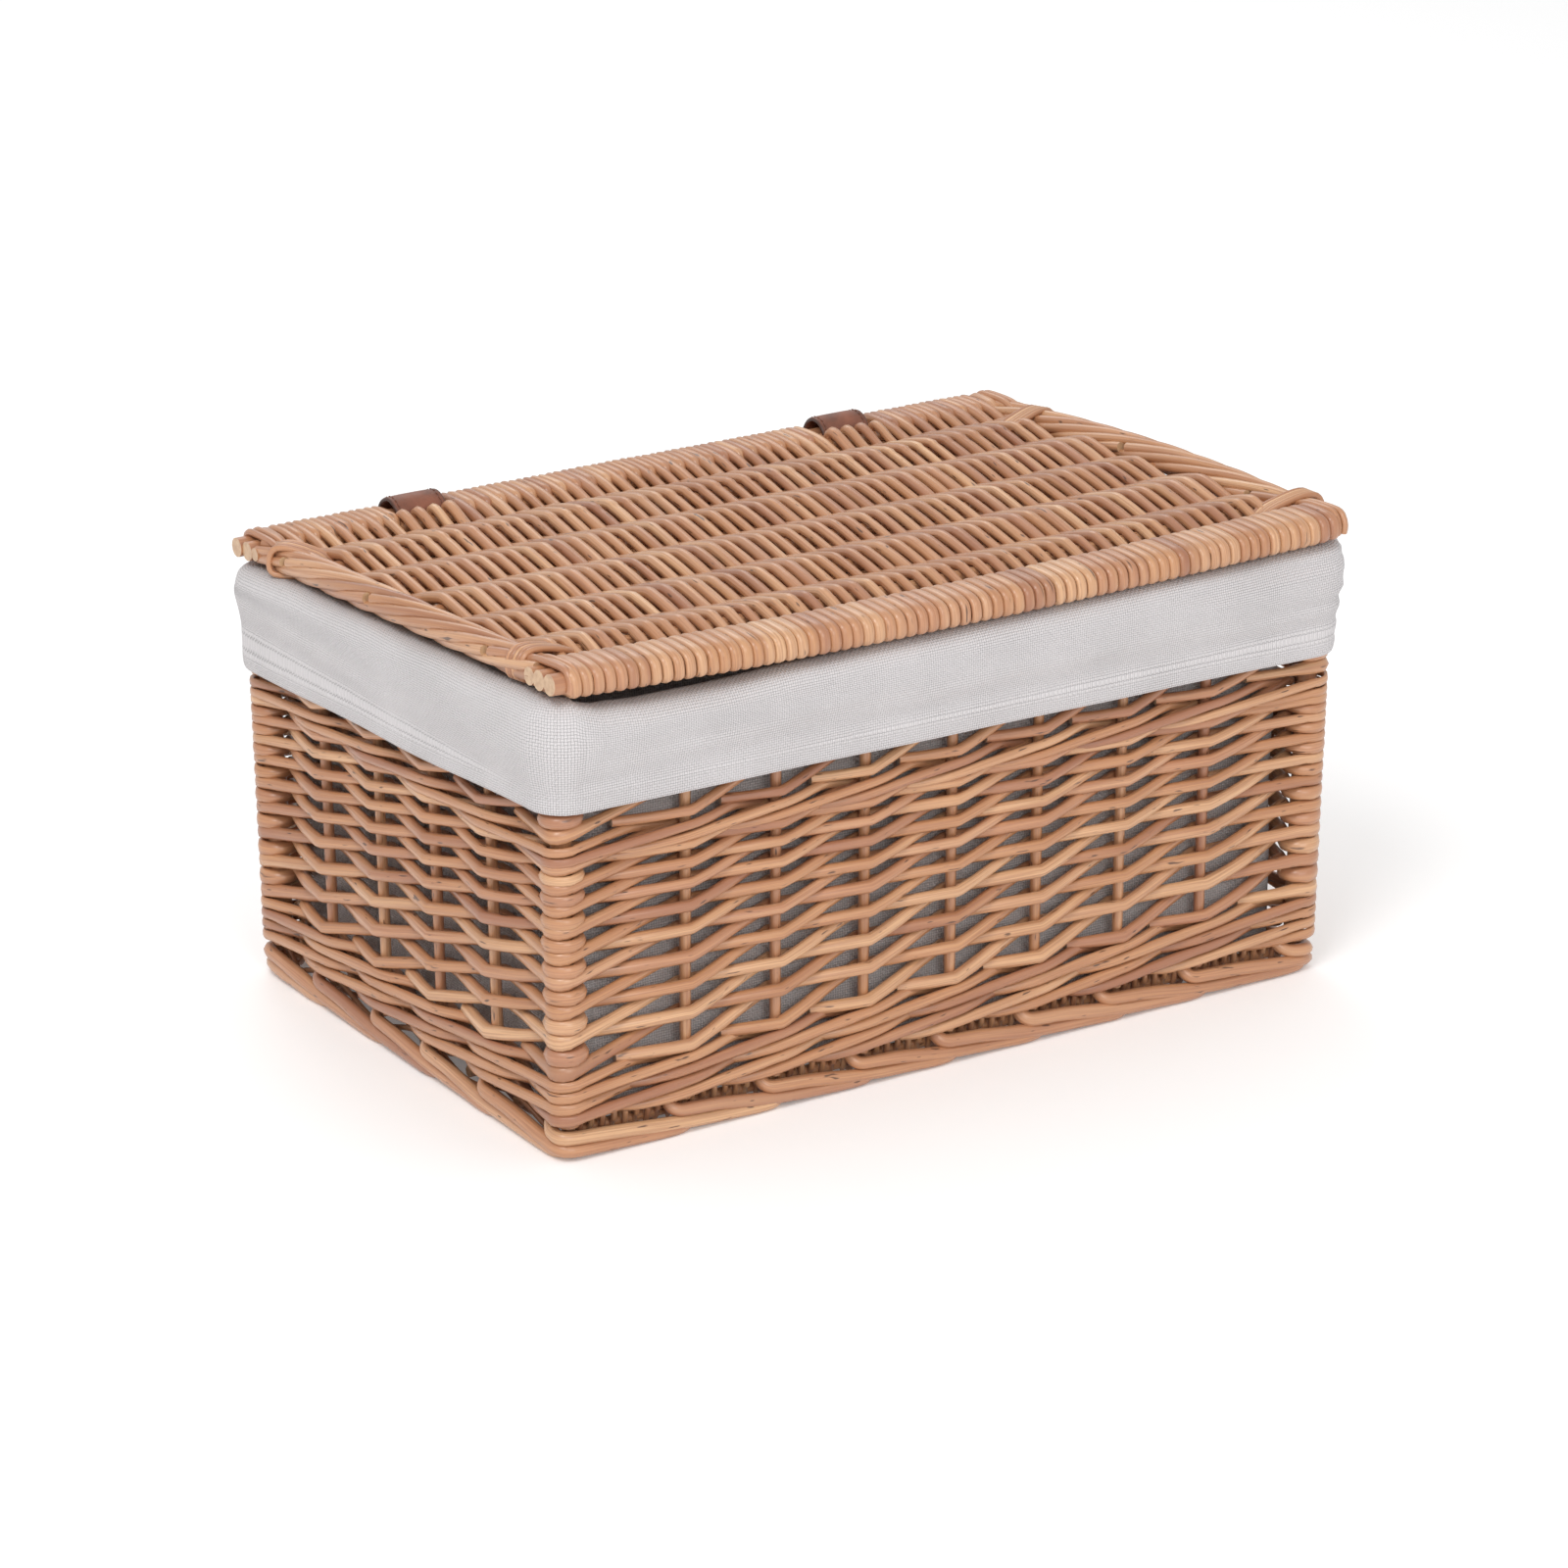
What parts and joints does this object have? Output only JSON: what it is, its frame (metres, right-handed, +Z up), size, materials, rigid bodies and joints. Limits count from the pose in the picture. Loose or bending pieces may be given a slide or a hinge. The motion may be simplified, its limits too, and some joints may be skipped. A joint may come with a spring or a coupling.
{
  "type": "sewing basket",
  "caption": "Rectangular woven willow basket with a hinged woven lid on leather straps and a sewn cotton liner folded over the rim as a cuff.",
  "frame": {"origin": "on the floor under the middle of the basket", "axes": "+X along the long walls to the right, +Y to the back where the lid hinges, +Z up"},
  "size_m": [0.4172, 0.2848, 0.2173],
  "materials": {
    "willow_weave": "buff willow rods, satin",
    "willow_sticks": "buff willow sticks, satin",
    "liner_cloth": "plain-woven white cotton canvas",
    "strap_leather": "smooth brown leather"
  },
  "bodies": {
    "basket": {"base_inner_sticks": "willow_sticks", "base_outer_sticks": "willow_sticks", "base_weave": "willow_weave", "bottom_wale_back": "willow_weave", "bottom_wale_front": "willow_weave", "bottom_wale_left": "willow_weave", "bottom_wale_right": "willow_weave", "corner_post_back_left": "willow_sticks", "corner_post_back_right": "willow_sticks", "corner_post_front_left": "willow_sticks", "corner_post_front_right": "willow_sticks", "foot_border_back": "willow_weave", "foot_border_front": "willow_weave", "foot_border_left": "willow_weave", "foot_border_right": "willow_weave", "liner_cuff_back": "liner_cloth", "liner_cuff_front": "liner_cloth", "liner_cuff_left": "liner_cloth", "liner_cuff_right": "liner_cloth", "liner_floor": "liner_cloth", "liner_side_back": "liner_cloth", "liner_side_front": "liner_cloth", "liner_side_left": "liner_cloth", "liner_side_right": "liner_cloth", "rim_weave_back": "willow_weave", "rim_weave_front": "willow_weave", "rim_weave_left": "willow_weave", "rim_weave_right": "willow_weave", "side_weave_back": "willow_weave", "side_weave_front": "willow_weave", "side_weave_left": "willow_weave", "side_weave_right": "willow_weave", "stakes_back": "willow_sticks", "stakes_front": "willow_sticks", "stakes_left": "willow_sticks", "stakes_right": "willow_sticks", "top_border_back": "willow_weave", "top_border_front": "willow_weave", "top_border_left": "willow_weave", "top_border_right": "willow_weave", "top_wale_back": "willow_weave", "top_wale_front": "willow_weave", "top_wale_left": "willow_weave", "top_wale_right": "willow_weave"},
    "lid": {"hinge_strap_left": "strap_leather", "hinge_strap_right": "strap_leather", "lid_back_sticks": "willow_sticks", "lid_corner_binding_back_left": "willow_weave", "lid_corner_binding_back_right": "willow_weave", "lid_corner_binding_front_left": "willow_weave", "lid_corner_binding_front_right": "willow_weave", "lid_end_rope_left": "willow_weave", "lid_end_rope_right": "willow_weave", "lid_front_sticks": "willow_sticks", "lid_ribs": "willow_sticks", "lid_weave": "willow_weave"}
  },
  "joints": [
    {"name": "lid_hinge", "type": "hinge", "parent": "basket", "child": "lid", "pos_m": [0, 0.1295, 0.184], "axis": [-1, 0, 0], "range_deg": [0, 100]}
  ]
}
